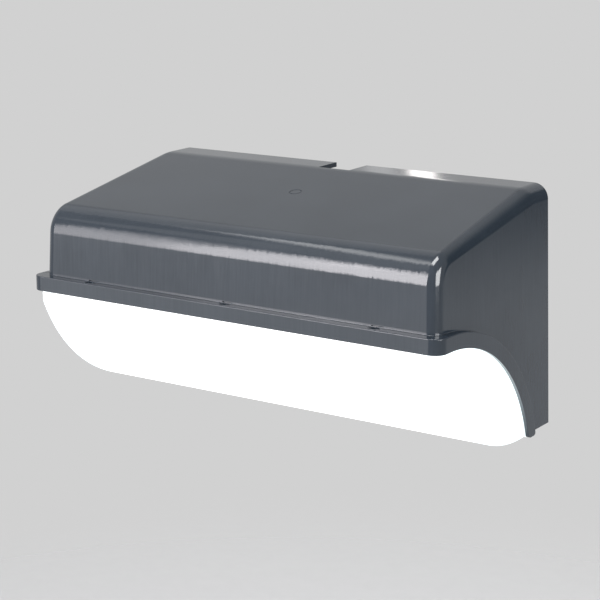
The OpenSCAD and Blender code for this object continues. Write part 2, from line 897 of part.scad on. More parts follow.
module gear_tray() {
    color(white) placed() difference() {
        union() {
            // Level sheet that carries the lamps below and the gear above
            span([-tray_edge, -tray_reach, tray_h], [tray_edge, -tray_back, tray_top]);
            // Rear wall that closes off the wall plate
            span(
                [-tray_edge, -tray_back - tray_t, tray_low],
                [tray_edge, -tray_back, tray_top]
            );
            // Upstand along the front
            span(
                [-tray_edge, -tray_reach, tray_h],
                [tray_edge, -tray_reach + tray_t, tray_h + tray_up]
            );
            // Upstands at the ends
            for (x = [-tray_edge, tray_edge - tray_t])
                span([x, -tray_reach, tray_h], [x + tray_t, -tray_back, tray_h + tray_side]);
        }
        for (p = boss_places)
            translate([p[0], p[1], tray_h - overrun])
                cylinder(h = tray_t + 2 * overrun, r = tray_hole_r);
        translate([lead_x, lead_y, tray_h - overrun])
            cylinder(h = tray_t + 2 * overrun, r = lead_hole_r + lead_r);
        for (p = concat(
            [for (y = board_places) for (s = [-1, 1]) [s * board_screw_x, y]],
            [for (s = [-1, 1]) driver_c + [s * ear_x, 0]],
            [[earth_x, earth_y]]
        ))
            translate([p[0], p[1], tray_h - overrun])
                cylinder(h = tray_t + 2 * overrun, r = small_r);
        // Cut-outs that let the hinge knuckles and the cover screw tabs pass
        for (side = [-1, 1])
            span(
                [side * cover_x - tab_w / 2 - clear, -tray_back - tray_t - overrun, 0],
                [
                    side * cover_x + tab_w / 2 + clear,
                    -tray_back + overrun,
                    plate_low + tab_t + clear
                ]
            );
    }
}

module tray_screws() {
    color(steel) placed()
        for (p = boss_places)
            translate([p[0], p[1], tray_h])
                pan_screw(screw_r, tray_screw_l, head_r, head_t);
}

// Grommet that takes the lamp leads through the tray
module lead_grommet() {
    color(black) placed()
        translate([lead_x, lead_y, tray_h])
            rotate_extrude()
                polygon([
                    [lead_hole_r, -lead_r],
                    [lead_hole_r + 2 * lead_r, -lead_r],
                    [lead_hole_r + 2 * lead_r, 0],
                    [lead_hole_r + lead_r, 0],
                    [lead_hole_r + lead_r, tray_t],
                    [lead_hole_r + 2 * lead_r, tray_t],
                    [lead_hole_r + 2 * lead_r, tray_t + lead_r],
                    [lead_hole_r, tray_t + lead_r]
                ]);
}

module led_boards() {
    color(white) placed()
        for (y = board_places)
            difference() {
                span([-board_l / 2, y - board_w / 2, board_low], [board_l / 2, y + board_w / 2, tray_h]);
                for (s = [-1, 1])
                    translate([s * board_screw_x, y, board_low - overrun])
                        cylinder(h = board_t + 2 * overrun, r = small_r + screw_clear);
            }
}

module led_chips() {
    color([0.95, 0.85, 0.35]) placed()
        for (y = board_places)
            for (i = [1 : lamps])
                translate([
                    -board_l / 2 + i * lamp_pitch - lamp_w / 2,
                    y - lamp_w / 2,
                    board_low - lamp_t
                ])
                    cube([lamp_w, lamp_w, lamp_t]);
}

module board_screws() {
    color(steel) placed()
        for (y = board_places)
            for (s = [-1, 1])
                translate([s * board_screw_x, y, board_low])
                    pan_screw(small_r, small_l - 2 * board_t, small_head_r, small_head_t);
}

module led_connectors() {
    color(white) placed()
        for (y = board_places)
            translate([plug_x, y, board_low])
                difference() {
                    span(
                        [-plug_l / 2, -plug_w / 2, -plug_t],
                        [plug_l / 2, plug_w / 2, 0]
                    );
                    for (s = [-1, 1])
                        bar_x(
                            -plug_l / 2 - overrun, 0,
                            s * plug_w / 4, -plug_t / 2, lead_r
                        );
                }
}

// A block with upright rounded corners
module rounded_block(l, w, r, h) {
    linear_extrude(h)
        rounded([-l / 2, -w / 2], [l / 2, w / 2], r);
}

module driver_case() {
    color(white) placed()
        translate([driver_c[0], driver_c[1], tray_top])
            difference() {
                union() {
                    rounded_block(driver_l, driver_w, driver_corner, case_h);
                    rounded_block(
                        driver_l + 2 * ear_l, driver_w / 2, driver_corner, ear_t
                    );
                }
                translate([0, 0, driver_wall])
                    rounded_block(
                        driver_l - 2 * driver_wall, driver_w - 2 * driver_wall,
                        driver_corner - driver_wall / 2, case_h
                    );
                for (s = [-1, 1]) {
                    translate([s * ear_x, 0, -overrun])
                        cylinder(h = ear_t + 2 * overrun, r = small_r + screw_clear);
                    for (t = [-1, 1])
                        bar_x(
                            s * driver_l / 2 - driver_wall - overrun,
                            s * driver_l / 2 + driver_wall + overrun,
                            t * 2 * lead_r, case_h / 2, lead_r
                        );
                }
            }
}

module driver_lid() {
    inner_l = driver_l - 4 * driver_wall;
    inner_w = driver_w - 4 * driver_wall;
    color(pale_grey) placed()
        translate([driver_c[0], driver_c[1], tray_top + case_h])
            difference() {
                union() {
                    rounded_block(driver_l, driver_w, driver_corner, driver_lid_h);
                    // Spigot that locates the lid in the case
                    translate([0, 0, -driver_wall])
                        rounded_block(
                            inner_l + 2 * driver_wall - 2 * screw_clear,
                            inner_w + 2 * driver_wall - 2 * screw_clear,
                            driver_corner - driver_wall / 2, 2 * driver_wall
                        );
                }
                translate([0, 0, -driver_wall - overrun])
                    rounded_block(
                        inner_l, inner_w,
                        driver_corner - driver_wall, driver_lid_h + overrun
                    );
            }
}

module driver_screws() {
    color(steel) placed()
        for (s = [-1, 1])
            translate([driver_c[0] + s * ear_x, driver_c[1], tray_top + ear_t])
                rotate([180, 0, 0])
                    pan_screw(small_r, small_l, small_head_r, small_head_t);
}

// Centres of the poles along the terminal block
pole_places = [for (i = [0 : poles - 1]) block_x + (i + 0.5) * pole_w];

module terminal_block() {
    color([0.88, 0.88, 0.86]) placed() difference() {
        union() {
            off_wall(plate_t, plate_t + block_d)
                rounded(
                    [block_x, entry_h - block_h / 2],
                    [block_x + block_l, entry_h + block_h / 2],
                    small_r
                );
            // Walls that stand between the poles
            for (i = [0 : poles])
                span(
                    [
                        block_x + i * (pole_w - rib_t / poles), block_front - rib_t,
                        entry_h - block_h / 2
                    ],
                    [
                        block_x + i * (pole_w - rib_t / poles) + rib_t, -plate_t,
                        entry_h + block_h / 2
                    ]
                );
        }
        for (x = pole_places) {
            // Wire holes through the block
            translate([x, wire_y, entry_h - block_h / 2 - overrun])
                cylinder(h = block_h + 2 * overrun, r = wire_hole_r);
            // Wells over the clamping screws
            for (s = [-1, 1])
                translate([x, block_front - overrun, entry_h + s * block_h / 4])
                    rotate([-90, 0, 0])
                        cylinder(h = well_d + overrun, r = well_r);
            for (s = [-1, 1])
                translate([x, block_front, entry_h + s * block_h / 4])
                    rotate([-90, 0, 0])
                        cylinder(h = block_d / 2, r = small_r);
        }
        // Hole for the fixing screw between two poles
        translate([block_c, -plate_t + overrun, entry_h])
            rotate([90, 0, 0])
                cylinder(h = block_d + rib_t + 2 * overrun, r = small_r + screw_clear);
        translate([block_c, block_front + well_d, entry_h])
            rotate([90, 0, 0])
                cylinder(h = well_d + rib_t + overrun, r = well_r);
    }
}

// A screw that points to the wall, with the underside of its head at a distance from the wall
module wall_screw(x, z, reach, r, l, hr, ht) {
    translate([x, -reach, z])
        rotate([-90, 0, 0])
            pan_screw(r, l, hr, ht);
}

module terminal_screws() {
    color(brass) placed()
        for (x = pole_places)
            for (s = [-1, 1])
                wall_screw(
                    x, entry_h + s * block_h / 4, plate_t + block_d - well_d,
                    small_r, block_d / 2 - well_d - wire_hole_r,
                    small_head_r, small_head_t
                );
}

module terminal_fixing_screw() {
    color(steel) placed()
        wall_screw(
            block_c, entry_h, plate_t + block_d - well_d,
            small_r, block_d - well_d + plate_t / 2,
            small_head_r, small_head_t
        );
}

// Saddle that grips the supply cable beside the entry
module cord_clamp() {
    color(black) placed() difference() {
        off_wall(plate_t, plate_t + clamp_d)
            rounded(
                [clamp_x - clamp_w / 2, entry_h - clamp_h / 2],
                [clamp_x + clamp_w / 2, entry_h + clamp_h / 2],
                plate_t / 2
            );
        // Groove for the cable
        bar_x(
            clamp_x - clamp_w, clamp_x + clamp_w,
            -plate_t, entry_h, cable_r
        );
        for (s = [-1, 1])
            translate([clamp_x, -plate_t + overrun, entry_h + s * clamp_hole_h])
                rotate([90, 0, 0])
                    cylinder(h = clamp_d + 2 * overrun, r = small_r + screw_clear);
    }
}

module clamp_screws() {
    color(steel) placed()
        for (s = [-1, 1])
            wall_screw(
                clamp_x, entry_h + s * clamp_hole_h, plate_t + clamp_d,
                small_r, clamp_d + plate_t / 2, small_head_r, small_head_t
            );
}

// Tab for the earth wire on the tray
module earth_tag() {
    color(brass) placed()
        translate([earth_x, earth_y, tray_top])
            difference() {
                union() {
                    cylinder(h = earth_t, r = 2 * small_head_r);
                    span([-earth_l, -small_head_r, 0], [0, small_head_r, earth_t]);
                    span([-earth_l, -small_head_r, 0], [-earth_l + earth_t, small_head_r, earth_l / 2]);
                }
                translate([0, 0, -overrun])
                    cylinder(h = earth_t + 2 * overrun, r = small_r + screw_clear);
            }
}

module earth_screw() {
    color(steel) placed()
        translate([earth_x, earth_y, tray_top + earth_t])
            rotate([180, 0, 0])
                pan_screw(small_r, small_l / 2, small_head_r, small_head_t);
}

// A round lead that follows a list of corners
module lead(path) {
    for (i = [0 : len(path) - 2]) {
        d = path[i + 1] - path[i];
        translate(path[i])
            rotate([0, acos(d[2] / norm(d)), atan2(d[1], d[0])])
                cylinder(h = norm(d), r = lead_r, $fn = 24);
        if (i > 0)
            translate(path[i])
                sphere(lead_r, $fn = 24);
    }
}

// Leads from the terminal block to the driver's right end
module mains_leads() {
    start = driver_c[0] + driver_l / 2 - driver_wall / 2;
    color([0.35, 0.22, 0.15]) placed()
        for (t = [-1, 1]) {
            x = pole_places[t > 0 ? 0 : 1];
            y = driver_c[1] + t * 2 * lead_r;
            lead([
                [x, wire_y, entry_h],
                [x, wire_y, driver_lead_h],
                [x, y, driver_lead_h],
                [start, y, driver_lead_h]
            ]);
        }
}

// Leads from the driver's left end through the tray to the boards
module led_leads() {
    start = driver_c[0] - driver_l / 2 + driver_wall / 2;
    low = board_low - plug_t / 2;
    color([0.75, 0.15, 0.12]) placed()
        for (t = [-1, 1]) {
            y = lead_y + t * 2 * lead_r;
            board_y = t > 0 ? -rear_board : -front_board;
            lead([
                [start, driver_c[1] + t * 2 * lead_r, driver_lead_h],
                [lead_x, y, driver_lead_h],
                [lead_x, y, low],
                [lead_x, board_y + plug_w / 4, low],
                [plug_x, board_y + plug_w / 4, low]
            ]);
        }
}

// The drum that the bowl is cut from
module drum(r, half, edge) {
    translate([0, -bowl_reach, bowl_h])
        rotate([0, 90, 0])
            rotate_extrude($fn = 180) {
                translate([0, -half])
                    square([r - edge, 2 * half]);
                translate([0, -half + edge])
                    square([r, 2 * (half - edge)]);
                for (s = [-1, 1])
                    translate([r - edge, s * (half - edge)])
                        intersection() {
                            circle(edge, $fn = 48);
                            square(2 * edge, center = true);
                        }
            }
}

// Section of the space that the bowl keeps, in front of the hinge
module bowl_section() {
    intersection() {
        translate([-rim_reach, -2 * barrel_r])
            square([rim_reach - hinge_reach, ledge_h]);
        union() {
            intersection() {
                translate([-arch_reach, arch_h])
                    circle(bowl_arch_r, $fn = 180);
                translate([-arch_reach, -2 * barrel_r])
                    square([arch_reach, ledge_h]);
            }
            translate([-arch_reach - end_rise_reach, -2 * barrel_r])
                square([end_rise_reach, lip_top + 2 * barrel_r]);
            translate([-rim_reach, -2 * barrel_r])
                square([rim_reach - arch_reach, shoulder_h + 2 * barrel_r]);
        }
    }
}

module diffuser() {
    color(opal) placed() difference() {
        union() {
            intersection() {
                difference() {
                    drum(bowl_r, bowl_half, bowl_edge);
                    drum(bowl_r - bowl_wall, bowl_half - bowl_wall, bowl_edge / 4);
                }
                along_x(rim_l)
                    bowl_section();
                rim_plan(bowl_half, skirt_reach - clear, bowl_corner);
            }
            // Shelf and lip along the front, behind the skirt
            span(
                [-lip_half, lip_y - lip_t, shoulder_h - bowl_wall],
                [lip_half, lip_y + lip_t, shoulder_h]
            );
            span(
                [-lip_half, lip_y, shoulder_h - bowl_wall],
                [lip_half, lip_y + lip_t, lip_top]
            );
            // Snap barbs below the slots in the ledge
            for (x = [-slot_pitch, 0, slot_pitch])
                span(
                    [x - barb_w / 2, lip_y - barb_reach, lip_top - barb_h],
                    [x + barb_w / 2, lip_y + lip_t / 2, lip_top]
                );
            // Barrel along the rear edge
            bar_x(-bowl_half, bowl_half, -hinge_reach, hinge_h, barrel_r);
        }
        for (side = [-1, 1]) {
            // Window for the knuckle, long enough to slide the pin in
            bar_x(
                side > 0 ? window_in : -window_out,
                side > 0 ? window_out : -window_in,
                -hinge_reach, hinge_h, barrel_r + clear
            );
            // Bore for the pin
            bar_x(
                side > 0 ? window_out - overrun : -pin_from - pin_l - clear,
                side > 0 ? pin_from + pin_l + clear : -window_out + overrun,
                -hinge_reach, hinge_h, pin_r + pin_clear
            );
        }
    }
}

hood();
diffuser_gasket();
hinge_pins();
cover_screws();
wall_plate();
wall_gasket();
cable_grommet();
gear_tray();
tray_screws();
lead_grommet();
led_boards();
led_chips();
board_screws();
led_connectors();
driver_case();
driver_lid();
driver_screws();
terminal_block();
terminal_screws();
terminal_fixing_screw();
cord_clamp();
clamp_screws();
earth_tag();
earth_screw();
mains_leads();
led_leads();
diffuser();
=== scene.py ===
import json
import math
import bmesh
import bpy
from mathutils import Matrix, Vector


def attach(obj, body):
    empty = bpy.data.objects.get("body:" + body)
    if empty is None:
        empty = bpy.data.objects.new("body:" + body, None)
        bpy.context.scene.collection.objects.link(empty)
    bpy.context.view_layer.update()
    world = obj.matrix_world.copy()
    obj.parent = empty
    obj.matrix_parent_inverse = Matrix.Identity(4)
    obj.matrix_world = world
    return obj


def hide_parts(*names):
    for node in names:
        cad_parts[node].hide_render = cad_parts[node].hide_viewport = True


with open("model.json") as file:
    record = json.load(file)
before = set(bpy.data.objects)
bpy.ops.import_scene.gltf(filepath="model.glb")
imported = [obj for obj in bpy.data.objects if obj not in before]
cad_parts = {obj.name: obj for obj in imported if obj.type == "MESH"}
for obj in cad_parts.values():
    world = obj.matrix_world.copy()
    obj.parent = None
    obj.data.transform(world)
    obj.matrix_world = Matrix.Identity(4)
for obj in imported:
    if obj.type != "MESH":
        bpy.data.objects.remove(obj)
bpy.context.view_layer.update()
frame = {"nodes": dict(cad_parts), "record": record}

scene = bpy.context.scene
nodes = frame["nodes"]
MM = 0.001
# How near points are joined, in CAD nodes and in new meshes, in metres
WELD, MERGE = 0.000002, 1e-7
# How near the wall's plane a point counts as on it
AT_WALL = 1e-6


# The camera, fitted to the light's outline in the photograph
LENS, SENSOR = 104.08, 36
CAMERA_PLACE = (0.59771, -0.95324, 0.25116)
CAMERA_TILT, CAMERA_TURN = 76.653, 33.815


def add_camera():
    data = bpy.data.cameras.new("camera")
    data.lens = LENS
    data.sensor_width = SENSOR
    data.clip_start = 0.01
    data.clip_end = 100
    cam = bpy.data.objects.new("camera", data)
    cam.location = CAMERA_PLACE
    cam.rotation_euler = (math.radians(CAMERA_TILT), 0, math.radians(CAMERA_TURN))
    scene.collection.objects.link(cam)
    scene.camera = cam


# Sizes of the hood, from the part's source but for BROW_R, BEND_R and the small roundings
# They are in millimetres, with heights from the hood's bottom edge, DROP below the origin
DROP = 75
# The rim: half its length, its reach and corner radius, its band, skirt and ledge
RIM_HALF, RIM_REACH, RIM_CORNER = 150, 147, 8
BAND, SKIRT = 9.5, 2.2
LEDGE_H, LEDGE_T = 85, 2.5
# Radius of the arch's inner edge, its centre, and the rim's foot
ARCH_R, ARCH_Y, ARCH_Z = 104.6, -134, -29.1
FOOT, FOOT_R = 1.5, 2
# The hood at the ledge, and its height at the wall
HOOD_HALF, HOOD_REACH, HOOD_H = 144.3, 140.3, 151
WALL = 3
# The level strip along the roof's rear
STRIP_D, STRIP_H = 22.6, 150.7
# Height at which the roof and the front would meet, and the radii of the hood's edges
BROW_H, BROW_R = 127, 19
EDGE_R, ROOF_EDGE_R, REAR_R = 7.25, 9.75, 0.6
# Radius of the easy bend between the slope and the level strip
BEND_R = 40
# Roundings of the rim's upper and lower edges, and at its root
TOP_R, LOW_R, ROOT_R = 0.5, 0.3, 0.3
# Least thickness of the ledge over the foot's rounding, and how far it runs into the hood's wall
LEAST_LEDGE, ROOT_D = 0.2, 1.5
# Lean of the ends and of the front, as a share of height
END_DRAFT, FRONT_DRAFT = 0.036, 0.039
# The snap slots in the front ledge
SLOTS, SLOT_HALF, SLOT_D = (-104.5, 0, 104.5), 2.75, 2.6
# The conduit notch in the roof
NOTCH_HALF, NOTCH_D, NOTCH_FOOT = 11.75, 21.5, 125
# The ring that the moulding gate leaves on the roof
GATE_Y, GATE_IN, GATE_OUT, GATE_DEPTH = -66, 3.45, 4, 0.3
# The sunk holes for the cover screws, with their section as radius and height
COVER_X, COVER_Y = 100, -11
COVER_SECTION = ((0, -1), (3.7, -1), (3.7, 0), (2, 1.7), (2, 4), (0, 4))
# Bosses and posts: distance from the middle, Y and height of the top
POSTS = ((130, -54, 125), (90, -114, 130.5))
POST_FOOT, POST_R, POST_HOLE_R = 68.2, 4.5, 1.9
# Half of a rib's thickness, and the rib in front of each roof post as points in Y and Z
RIB_HALF = 0.8
POST_RIB = ((-118, 115), (-136.8, 115.5), (-134.5, 121.5), (-129, 126.3), (-118, 129))
# The knuckles that carry the hinge pins
KNUCKLE_X, KNUCKLE_HALF, KNUCKLE_R = 120, 5, 2.8
HINGE_Y, HINGE_H = -30.2, 1
# Boxes on each side: near and far distance from the middle, then low and high Y and Z
BOSS_WEB = (134, 141, (-55.6, 77.3), (-52.4, 124))
END_RIBS = [(137.3, 141, (y - RIB_HALF, 67), (y + RIB_HALF, 124)) for y in (-69, -39)]
HOOK_RIB = (76, 94, (-9.2, 144.2), (-6.7, 149))
KNUCKLE_ROOT = (KNUCKLE_X - KNUCKLE_HALF, KNUCKLE_X + KNUCKLE_HALF, (HINGE_Y, 0), (-20.8, 3))
# How far a cut runs past the face that it opens, and how far a tool runs past the hood
OVERRUN, PAST = 1, 10

END_LEAN, FRONT_LEAN = math.atan(END_DRAFT), math.atan(FRONT_DRAFT)
BROW_Y = -HOOD_REACH + (BROW_H - LEDGE_H) * FRONT_DRAFT
SLOPE = math.atan2(STRIP_H - BROW_H, -STRIP_D - BROW_Y)
# Centre of the brow's rounding, which touches the front face and the slope
BROW_UNIT = BROW_R / (1 + math.sin(FRONT_LEAN + SLOPE))
BROW_C = (
    BROW_Y + BROW_UNIT * (math.cos(FRONT_LEAN) + math.sin(SLOPE)),
    BROW_H - BROW_UNIT * (math.sin(FRONT_LEAN) + math.cos(SLOPE)),
)

# Steps in which curves are drawn
BROW_STEPS, EDGE_STEPS, BEND_STEPS = 32, 14, 6
ARCH_STEPS, PLAN_STEPS, TURN_STEPS = 96, 12, 48
FRONT_STEPS, CORNER_STEPS, RIM_STEPS, ROUNDING_STEPS = 20, 16, 60, 4
# Share of the arch that the foot's rounding takes, with steps of its own
FOOT_SHARE, FOOT_STEPS = 0.025, 6


# Short calls for shader nodes
class Tree:
    """A material's node tree, with short calls for the nodes used here."""

    def __init__(self, name):
        self.material = bpy.data.materials.new(name)
        self.material.use_nodes = True
        self.nodes = self.material.node_tree.nodes
        self.links = self.material.node_tree.links
        self.nodes.clear()
        output = self.nodes.new("ShaderNodeOutputMaterial")
        self.shader = self.nodes.new("ShaderNodeBsdfPrincipled")
        self.links.new(self.shader.outputs[0], output.inputs["Surface"])
        texture = self.nodes.new("ShaderNodeTexCoord")
        self.coords = texture.outputs["Object"]
        self.texture_normal = texture.outputs["Normal"]

    def put(self, value, socket):
        """Links a socket to a socket, or sets it to a plain value."""
        if hasattr(value, "links"):
            self.links.new(value, socket)
        else:
            socket.default_value = value

    def principled(self, **values):
        for name, value in values.items():
            self.put(value, self.shader.inputs[name.replace("_", " ")])

    def vector(self, operation, a, b=None):
        n = self.nodes.new("ShaderNodeVectorMath")
        n.operation = operation
        self.put(a, n.inputs[0])
        if b is not None:
            self.put(b, n.inputs[1])
        return n.outputs["Value"] if operation in ("LENGTH", "DOT_PRODUCT") else n.outputs["Vector"]

    def scaled(self, scale, source=None):
        return self.vector("MULTIPLY", source or self.coords, scale)

    def noise(self, scale, detail=2, roughness=0.5):
        n = self.nodes.new("ShaderNodeTexNoise")
        self.links.new(self.scaled(scale), n.inputs["Vector"])
        n.inputs["Scale"].default_value = 1
        n.inputs["Detail"].default_value = detail
        n.inputs["Roughness"].default_value = roughness
        return n.outputs["Fac"]

    def math(self, operation, a, b=0.0):
        n = self.nodes.new("ShaderNodeMath")
        n.operation = operation
        self.put(a, n.inputs[0])
        self.put(b, n.inputs[1])
        return n.outputs[0]

    def map(self, value, low, high, to_low=0.0, to_high=1.0):
        """Eases a value from one range to another."""
        n = self.nodes.new("ShaderNodeMapRange")
        n.interpolation_type = "SMOOTHSTEP"
        self.put(value, n.inputs["Value"])
        n.inputs["From Min"].default_value = low
        n.inputs["From Max"].default_value = high
        n.inputs["To Min"].default_value = to_low
        n.inputs["To Max"].default_value = to_high
        return n.outputs["Result"]

    def mix(self, factor, a, b):
        n = self.nodes.new("ShaderNodeMix")
        n.data_type = "RGBA"
        self.put(factor, n.inputs["Factor"])
        self.put(a, n.inputs[6])
        self.put(b, n.inputs[7])
        return n.outputs[2]

    def bump(self, height, distance, strength=1.0, normal=None):
        n = self.nodes.new("ShaderNodeBump")
        n.inputs["Distance"].default_value = distance
        self.put(strength, n.inputs["Strength"])
        self.put(height, n.inputs["Height"])
        if normal is not None:
            self.links.new(normal, n.inputs["Normal"])
        return n.outputs["Normal"]

    def separate(self, source):
        n = self.nodes.new("ShaderNodeSeparateXYZ")
        self.links.new(source, n.inputs[0])
        return n.outputs

    def geometry(self, name):
        return self.nodes.new("ShaderNodeNewGeometry").outputs[name]

    def tilted(self, normal, amount):
        """The normal, turned up or down by an amount."""
        n = self.nodes.new("ShaderNodeCombineXYZ")
        self.put(amount, n.inputs["Z"])
        return self.vector("NORMALIZE", self.vector("ADD", normal, n.outputs[0]))


def rgb(r, g, b):
    """Linear colour from 0 to 255 display values."""
    def linear(v):
        v /= 255
        return v / 12.92 if v <= 0.04045 else ((v + 0.055) / 1.055) ** 2.4
    return (linear(r), linear(g), linear(b), 1)


# The hood's plastic
# Its darkest and lightest colour, its least roughness, and how much the hairlines add to that
HOOD_DARK, HOOD_LIGHT = (46, 54, 63), (55, 63, 72)
HOOD_ROUGH, HAIR_ROUGH = 0.07, 0.08
# Noise scales along X, Y and Z: hairlines down the walls, hairlines along the roof, and clouds
HAIR_DOWN, HAIR_ALONG, CLOUD = (800, 800, 14), (14, 1300, 1300), (22, 22, 22)
# Shares of the hairlines and the clouds in the tone, and the tones of the two colours
HAIR_TONE, CLOUD_TONE, TONES = 0.22, 0.30, (0.14, 0.38)
# Where the brow, the roof and the ends begin and are reached, by the size of the normal's Z or X
ON_BROW, ON_ROOF, ON_END = (0.05, 0.12), (0.85, 0.96), (0.3, 0.9)
# Lean that the hairlines give the walls and the brow, and the shares of it that the roof and ends keep
WALL_HAIR, BROW_HAIR, ROOF_HAIR_SHARE, END_HAIR_SHARE = 0.05, 0.26, 0.02, 0.3
# Depth in metres, and strength, of the roof's hairlines and of the marks on the ends
GROOVE_DEPTH, GROOVE_STRENGTH = 0.00002, 0.6
MARK_DEPTH, MARK_STRENGTH = 0.00005, 0.5
# Faint marks on the ends: two upright ones, and a short level one between them, in metres
UPRIGHT_YS, UPRIGHT_WIDE, UPRIGHT_Z, UPRIGHT_TALL = (-0.067, -0.037), 0.002, 0.02, 0.045
LEVEL_Y, LEVEL_WIDE, LEVEL_Z, LEVEL_TALL = -0.054, 0.012, 0.019, 0.0035
# The bowl's light on the rim's inner edge, painted as a glow in the hood's plastic: its colour, how
# wide it is, and where it ends, in metres
SPILL_TINT, SPILL_WIDTH = (0.9, 1, 1.04, 1), 1.6 * MM
ARCH_HEART = (0, ARCH_Y * MM, (ARCH_Z - DROP) * MM)
SPILL_R, SPILL_FADE = ARCH_R * MM + SPILL_WIDTH, 0.001
# Metres by which a face lies out from the arch's centre along its normal, with the painted glow full
# and with none
FACING_IN = (-0.095, -0.06)
# Heights between which the painted glow grows, and its strength at both
SPILL_Z, SPILL_GLOW = (-0.075, -0.035), (0.03, 0.22)


def near(t, value, centre, half):
    """1 where a value is at its centre, down to 0 at a distance from it."""
    return t.map(t.math("ABSOLUTE", t.math("SUBTRACT", value, centre)), 0, half, 1, 0)


def sink_marks(t, endward):
    """Height of the marks that ribs inside the hood leave on its ends."""
    place = t.separate(t.coords)
    upright = t.math("ADD", *[near(t, place["Y"], y, UPRIGHT_WIDE) for y in UPRIGHT_YS])
    upright = t.math("MULTIPLY", upright, near(t, place["Z"], UPRIGHT_Z, UPRIGHT_TALL))
    high = near(t, place["Z"], LEVEL_Z, LEVEL_TALL)
    level = t.math("MULTIPLY", high, near(t, place["Y"], LEVEL_Y, LEVEL_WIDE))
    return t.math("MULTIPLY", t.math("ADD", upright, level), endward)


def painted_spill(t, normal):
    """Strength of the glow painted on the rim's inner edge for the bowl's light, weakest at the foot.
    """
    across = t.scaled((0, 1, 1), t.vector("SUBTRACT", t.coords, ARCH_HEART))
    inward = t.map(t.vector("DOT_PRODUCT", across, normal), *FACING_IN, 1, 0)
    edge = t.map(t.vector("LENGTH", across), SPILL_R, SPILL_R + SPILL_FADE, 1, 0)
    height = t.map(t.separate(t.coords)["Z"], *SPILL_Z, *SPILL_GLOW)
    return t.math("MULTIPLY", t.math("MULTIPLY", inward, edge), height)


def hood_normal(t, down, along, upward, endward, size, normal):
    """Hairlines lean the surface a little, which breaks up the reflections, most on the brow."""
    brow = t.map(size["Z"], *ON_BROW, WALL_HAIR, BROW_HAIR)
    depth = t.math("MULTIPLY", brow, t.map(upward, 0, 1, 1, ROOF_HAIR_SHARE))
    depth = t.math("MULTIPLY", depth, t.map(endward, 0, 1, 1, END_HAIR_SHARE))
    lean = t.math("MULTIPLY", t.math("SUBTRACT", down, 0.5), depth)
    marked = t.bump(sink_marks(t, endward), MARK_DEPTH, MARK_STRENGTH, t.tilted(normal, lean))
    return t.bump(along, GROOVE_DEPTH, t.map(upward, 0, 1, 0.0, GROOVE_STRENGTH), marked)


def hood_plastic():
    t = Tree("hood_plastic")
    normal = t.geometry("Normal")
    size = t.separate(t.vector("ABSOLUTE", normal))
    upward = t.map(size["Z"], *ON_ROOF)
    endward = t.map(size["X"], *ON_END)
    down = t.noise(HAIR_DOWN, 3, 0.7)
    along = t.noise(HAIR_ALONG, 3, 0.65)
    lines = t.mix(upward, down, along)
    cloud = t.noise(CLOUD, 3, 0.6)
    tone = t.math("ADD", t.math("MULTIPLY", lines, HAIR_TONE), t.math("MULTIPLY", cloud, CLOUD_TONE))
    t.principled(
        Base_Color=t.mix(t.map(tone, *TONES), rgb(*HOOD_DARK), rgb(*HOOD_LIGHT)),
        Roughness=t.math("ADD", t.math("MULTIPLY", lines, HAIR_ROUGH), HOOD_ROUGH),
        Normal=hood_normal(t, down, along, upward, endward, size, normal),
        # Emission painted on the rim's inner edge stands in for the bowl's light falling there
        Emission_Color=SPILL_TINT,
        Emission_Strength=painted_spill(t, normal),
    )
    t.shader.inputs["IOR"].default_value = 1.48
    return t.material


# The bowl's plastic
# A point inside the bowl, from which its walls face away on the outside
BOWL_HEART = (0, -0.045, 0)
GLOW = 1.05
# Metres from the middle between which the ends turn cooler
COOLER_X = (0.128, 0.1475)
# Metres by which a face lies out from that point along its normal, on the inside and the outside
INNER_TO_OUTER = (-0.004, 0.004)


def opal_plastic():
    t = Tree("opal_plastic")
    x = t.separate(t.coords)["X"]
    ends = t.map(t.math("ABSOLUTE", x), *COOLER_X)
    # The inner face has no glow, so that its form shows when the bowl hangs open
    outward = t.vector("SUBTRACT", t.coords, BOWL_HEART)
    outer = t.map(t.vector("DOT_PRODUCT", outward, t.texture_normal), *INNER_TO_OUTER)
    t.principled(
        # The inner face is painted a darker white than the outer: painted shade inside the bowl
        Base_Color=t.mix(outer, rgb(221, 223, 222), rgb(236, 238, 237)),
        Roughness=0.25,
        Emission_Color=t.mix(ends, (1, 1, 1, 1), rgb(232, 247, 250)),
        Emission_Strength=t.math("MULTIPLY", outer, GLOW),
    )
    return t.material


# The other materials
# Noise scales along X, Y and Z, and heights of the grain in metres
GRAIN, METAL_GRAIN, PLAIN_CLOUD = (400, 400, 400), (300, 300, 40), (35, 35, 35)
GRAIN_HEIGHT, METAL_GRAIN_HEIGHT, ENAMEL_GRAIN_HEIGHT = 0.00002, 0.00001, 0.000002
# Noise values between which the colour and the roughness change, and how far the roughness goes
PLAIN_TONES, PLAIN_GRAINS, LESS_ROUGH, MORE_ROUGH = (0.35, 0.65), (0.3, 0.7), 0.05, 0.06
# Darkest and lightest colour of each, and its roughness
PLAINS = {
    "plate_plastic": ((155, 157, 159), (161, 163, 165), 0.45),
    "white_plastic": ((222, 222, 219), (234, 234, 231), 0.38),
    "black_plastic": ((30, 30, 32), (40, 40, 42), 0.42),
    "lead_brown": ((86, 54, 38), (98, 62, 44), 0.45),
    "lead_red": ((150, 30, 24), (168, 36, 30), 0.45),
    "seal_rubber": ((26, 26, 27), (38, 38, 39), 0.7),
}
# The same, and the scale of its grain
ENAMELS = {
    "board_white": ((206, 212, 208), (214, 220, 216), 0.34, 1100),
    "tray_enamel": ((222, 223, 221), (225, 226, 224), 0.3, 900),
}
METALS = {
    "steel": ((186, 188, 191), (206, 208, 210), 0.3),
    "brass": ((196, 160, 92), (214, 180, 110), 0.3),
}


